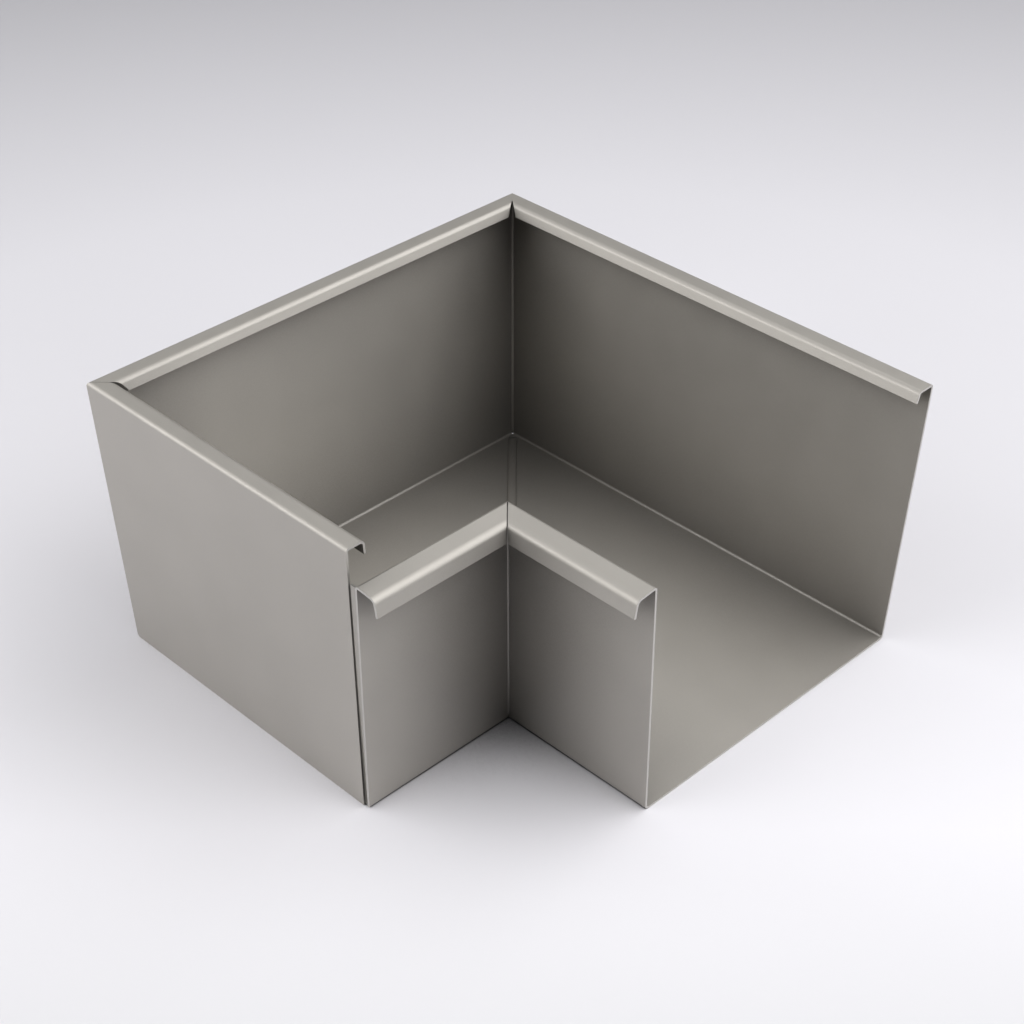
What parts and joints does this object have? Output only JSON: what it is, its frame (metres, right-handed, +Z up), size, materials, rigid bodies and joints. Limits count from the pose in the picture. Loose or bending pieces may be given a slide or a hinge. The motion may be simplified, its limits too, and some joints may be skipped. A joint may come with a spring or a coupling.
{
  "type": "gutter angle",
  "caption": "Right-angled box gutter corner folded from grey coated aluminium sheet, with rolled lips along its walls and a stop end closing a leg.",
  "frame": {"origin": "under the middle of the part's box, on the surface it stands on", "axes": "+X out of the open leg's end, -Y out through the stop end of the closed leg, +Z up out of the channel"},
  "size_m": [0.198, 0.198, 0.1015],
  "materials": {
    "coated_sheet": "fine satin powder coat"
  },
  "bodies": {
    "root": {"open_leg": "coated_sheet", "closed_leg": "coated_sheet", "stop_end": "coated_sheet"}
  },
  "joints": []
}
